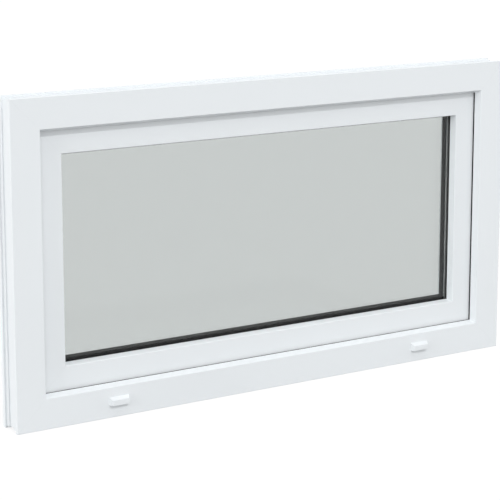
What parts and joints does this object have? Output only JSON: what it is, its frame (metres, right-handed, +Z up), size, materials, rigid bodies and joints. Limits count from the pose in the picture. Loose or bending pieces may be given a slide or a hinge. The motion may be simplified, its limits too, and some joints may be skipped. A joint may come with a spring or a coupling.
{
  "type": "tilt and turn window",
  "caption": "White plastic tilt and turn window in a landscape format, with an outer frame, a sash, a double glazed pane, drain caps, hinges and an inside handle.",
  "frame": {"origin": "middle of the sill's rear foot, on the flat underside that the window stands on", "axes": "+X to the right seen from outside, +Y into the building, +Z up"},
  "size_m": [1.1, 0.135, 0.6],
  "materials": {
    "white_profile": "smooth white window plastic, satin to gloss, extruded and welded at the mitres",
    "clear_glass": "clear float glass",
    "black_seal": "matt black sealant",
    "grey_spacer": "dark grey spacer bar, matt",
    "black_gasket": "matt black gasket rubber",
    "white_cap": "moulded white plastic",
    "white_handle": "white powder coat on cast metal",
    "white_hinge_cover": "moulded white cover over a steel hinge"
  },
  "bodies": {
    "root": {"bead_bottom": "white_profile", "bead_left": "white_profile", "bead_right": "white_profile", "bead_top": "white_profile", "corner_band": "white_hinge_cover", "corner_bearing": "white_hinge_cover", "drain_cap_left": "white_cap", "drain_cap_right": "white_cap", "edge_seal": "black_seal", "frame_bottom": "white_profile", "frame_left": "white_profile", "frame_right": "white_profile", "frame_top": "white_profile", "glazing_gasket_inner": "black_gasket", "glazing_gasket_outer": "black_gasket", "handle_lever": "white_handle", "handle_neck": "white_handle", "handle_rosette": "white_handle", "inner_pane": "clear_glass", "outer_pane": "clear_glass", "overlap_gasket": "black_gasket", "rebate_gasket": "black_gasket", "sash_bottom": "white_profile", "sash_left": "white_profile", "sash_right": "white_profile", "sash_top": "white_profile", "spacer": "grey_spacer", "stay_band": "white_hinge_cover", "stay_bearing": "white_hinge_cover"}
  },
  "joints": []
}
